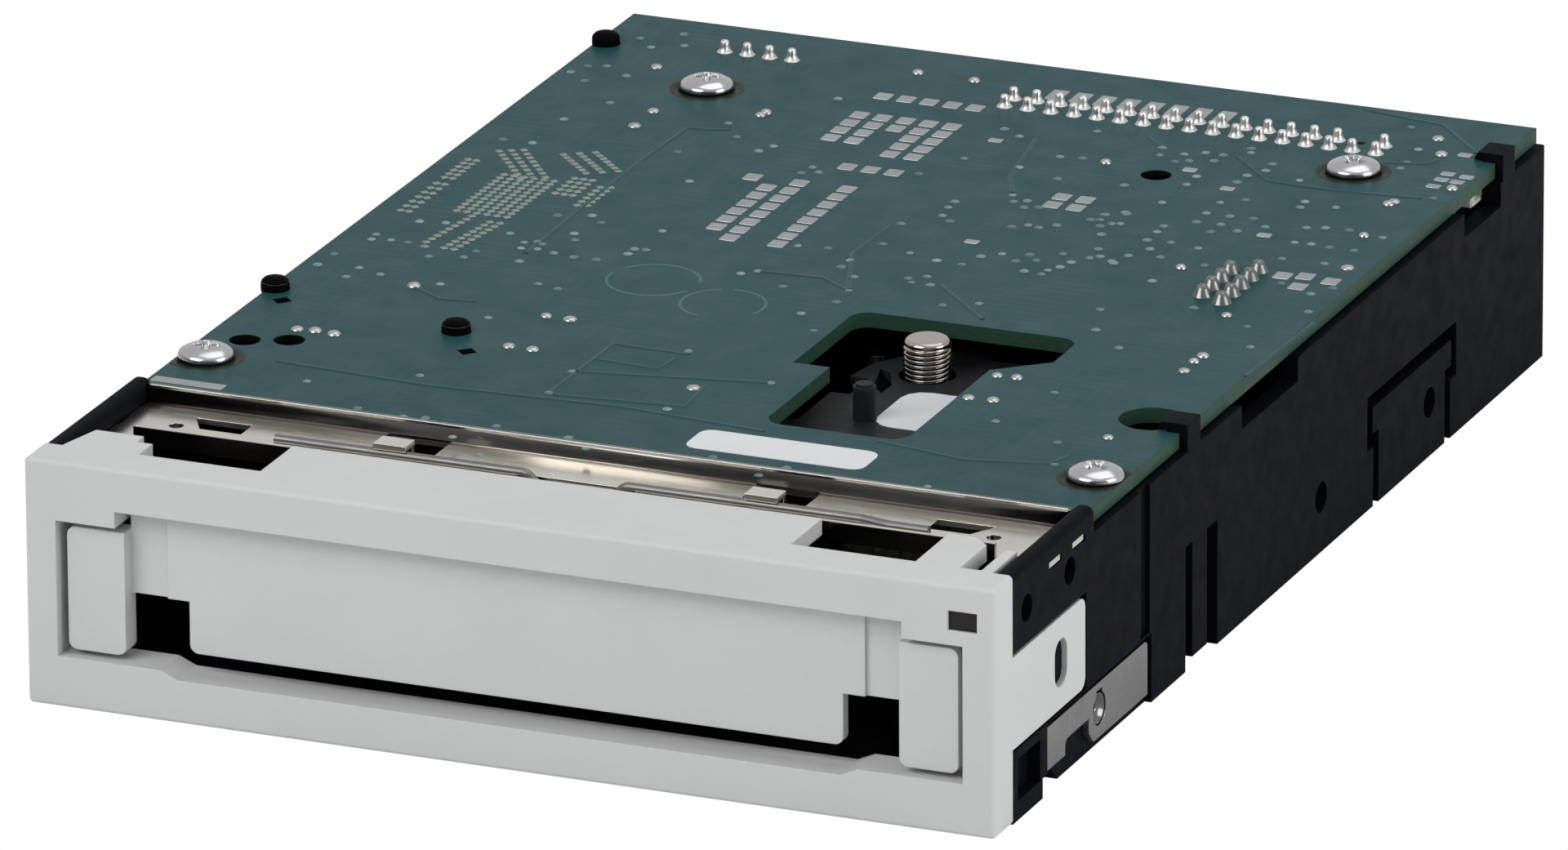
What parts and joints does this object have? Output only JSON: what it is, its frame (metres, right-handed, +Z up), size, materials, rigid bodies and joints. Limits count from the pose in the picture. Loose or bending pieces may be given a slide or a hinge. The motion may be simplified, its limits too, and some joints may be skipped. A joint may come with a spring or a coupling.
{
  "type": "data tape drive",
  "caption": "Slim tape drive with grey front frame, hinged cartridge door, black moulded chassis and a board on top; door, latches, capstan and head lift move.",
  "frame": {"origin": "middle of the underside, halfway between the bezel's front face and the rear edge", "axes": "+X to the right seen from the front, +Y from the bezel to the rear, +Z up"},
  "size_m": [0.1016, 0.15, 0.0265],
  "materials": {
    "black_moulding": "black moulded plastic, satin",
    "grey_moulding": "light grey moulded plastic, fine grain",
    "door_moulding": "light grey moulded plastic, smooth",
    "bright_steel": "ground steel",
    "spring_steel": "plated spring wire",
    "dark_lens": "smoky window",
    "plated_sheet": "nickel plated sheet",
    "dull_steel": "zinc plated sheet",
    "white_moulding": "white acetal",
    "cover_moulding": "dark grey moulded cover",
    "clip_sheet": "dull plated spring sheet",
    "zinc_screws": "bright zinc",
    "board_laminate": "blue-green solder mask on laminate",
    "connector_body": "black connector plastic",
    "tinned_pins": "tinned metal",
    "chip_body": "black chip casing",
    "switch_body": "black switch plastic",
    "feeler_moulding": "pale feeler plastic",
    "brass_screw": "turned brass",
    "gear_moulding": "natural acetal",
    "bearing_bronze": "sintered bronze",
    "dark_rod": "blackened steel",
    "carriage_metal": "die-cast alloy",
    "head_metal": "polished head face",
    "motor_can": "drawn steel can",
    "copper_winding": "enamelled copper wire",
    "magnet_body": "ferrite ring",
    "tyre_rubber": "drive rubber"
  },
  "bodies": {
    "drive": {"chassis": "black_moulding", "bezel": "grey_moulding", "door_pin": "bright_steel", "door_spring": "spring_steel", "led_lens": "dark_lens", "front_bracket": "plated_sheet", "retention_spring": "spring_steel", "latch_pivots": "bright_steel", "left_side_clip": "clip_sheet", "right_side_clip": "clip_sheet", "clip_screws": "zinc_screws", "circuit_board": "board_laminate", "board_screws": "zinc_screws", "interface_connector": "connector_body", "interface_pins": "tinned_pins", "power_connector": "connector_body", "power_pins": "tinned_pins", "signal_header": "connector_body", "signal_pins": "tinned_pins", "flex_socket": "white_moulding", "board_chips": "chip_body", "cartridge_switch": "switch_body", "write_switch": "switch_body", "bay_cover": "cover_moulding", "hole_sensor": "switch_body", "screw_bearing": "bearing_bronze", "guide_rod": "dark_rod", "stepper_motor": "motor_can", "stepper_screws": "zinc_screws", "motor_plate": "plated_sheet", "motor_coils": "copper_winding", "motor_bearing": "bearing_bronze", "motor_screws": "zinc_screws"},
    "door": {"door_flap": "door_moulding"},
    "left_latch": {"left_latch_arm": "dull_steel"},
    "left_roller": {"left_latch_roller": "white_moulding"},
    "right_latch": {"right_latch_arm": "dull_steel"},
    "right_roller": {"right_latch_roller": "white_moulding"},
    "lift": {"lead_screw": "brass_screw", "lead_screw_gear": "gear_moulding"},
    "head": {"head_carriage": "carriage_metal", "head_nut": "gear_moulding", "tape_head": "head_metal"},
    "stepper_rotor": {"stepper_shaft": "bright_steel", "stepper_pinion": "brass_screw"},
    "capstan": {"motor_rotor": "motor_can", "rotor_magnet": "magnet_body", "motor_shaft": "bright_steel", "capstan_hub": "carriage_metal", "capstan_tyre": "tyre_rubber"},
    "cartridge_feeler": {"cartridge_feeler": "feeler_moulding"},
    "write_feeler": {"write_feeler": "feeler_moulding"}
  },
  "joints": [
    {"name": "door_hinge", "type": "hinge", "parent": "drive", "child": "door", "pos_m": [0, -0.0721, 0.0215], "axis": [1, 0, 0], "range_deg": [0, 88], "stiffness_Nm_per_rad": 0.0012, "springref_deg": -20.05},
    {"name": "left_latch_swing", "type": "hinge", "parent": "drive", "child": "left_latch", "pos_m": [-0.0452, -0.0454, 0.006], "axis": [0, 0, -1], "range_deg": [0, 16], "stiffness_Nm_per_rad": 0.02, "springref_deg": -5.73},
    {"name": "left_roller_spin", "type": "hinge", "parent": "left_latch", "child": "left_roller", "pos_m": [-0.0402, -0.0546, 0.01], "axis": [0, 0, 1], "continuous": true},
    {"name": "right_latch_swing", "type": "hinge", "parent": "drive", "child": "right_latch", "pos_m": [0.0452, -0.0454, 0.006], "axis": [0, 0, 1], "range_deg": [0, 16], "stiffness_Nm_per_rad": 0.02, "springref_deg": -5.73},
    {"name": "right_roller_spin", "type": "hinge", "parent": "right_latch", "child": "right_roller", "pos_m": [0.0402, -0.0546, 0.01], "axis": [0, 0, 1], "continuous": true},
    {"name": "lift_screw_spin", "type": "hinge", "parent": "drive", "child": "lift", "pos_m": [0.0162, -0.0071, 0.012], "axis": [0, 0, 1], "range_deg": [-2160, 2160]},
    {"name": "head_lift", "type": "slide", "parent": "drive", "child": "head", "axis": [0, 0, 1], "range_m": [-0.003, 0.003]},
    {"name": "stepper_spin", "type": "hinge", "parent": "drive", "child": "stepper_rotor", "pos_m": [0.0251, 0.00037, 0.01], "axis": [0, 0, 1], "range_deg": [-4938, 4938]},
    {"name": "capstan_spin", "type": "hinge", "parent": "drive", "child": "capstan", "pos_m": [-0.006, -0.008, 0.01], "axis": [0, 0, 1], "continuous": true},
    {"name": "cartridge_feeler_press", "type": "slide", "parent": "drive", "child": "cartridge_feeler", "axis": [0, 0, 1], "range_m": [0, 0.0009], "stiffness_N_per_m": 60, "springref_m": -0.001},
    {"name": "write_feeler_press", "type": "slide", "parent": "drive", "child": "write_feeler", "axis": [-1, 0, 0], "range_m": [0, 0.0009], "stiffness_N_per_m": 60, "springref_m": -0.001}
  ],
  "couplings": [
    {"joint": "lift_screw_spin", "follows": "head_lift", "rad_per_m": 12566},
    {"joint": "stepper_spin", "follows": "head_lift", "rad_per_m": -28723}
  ]
}
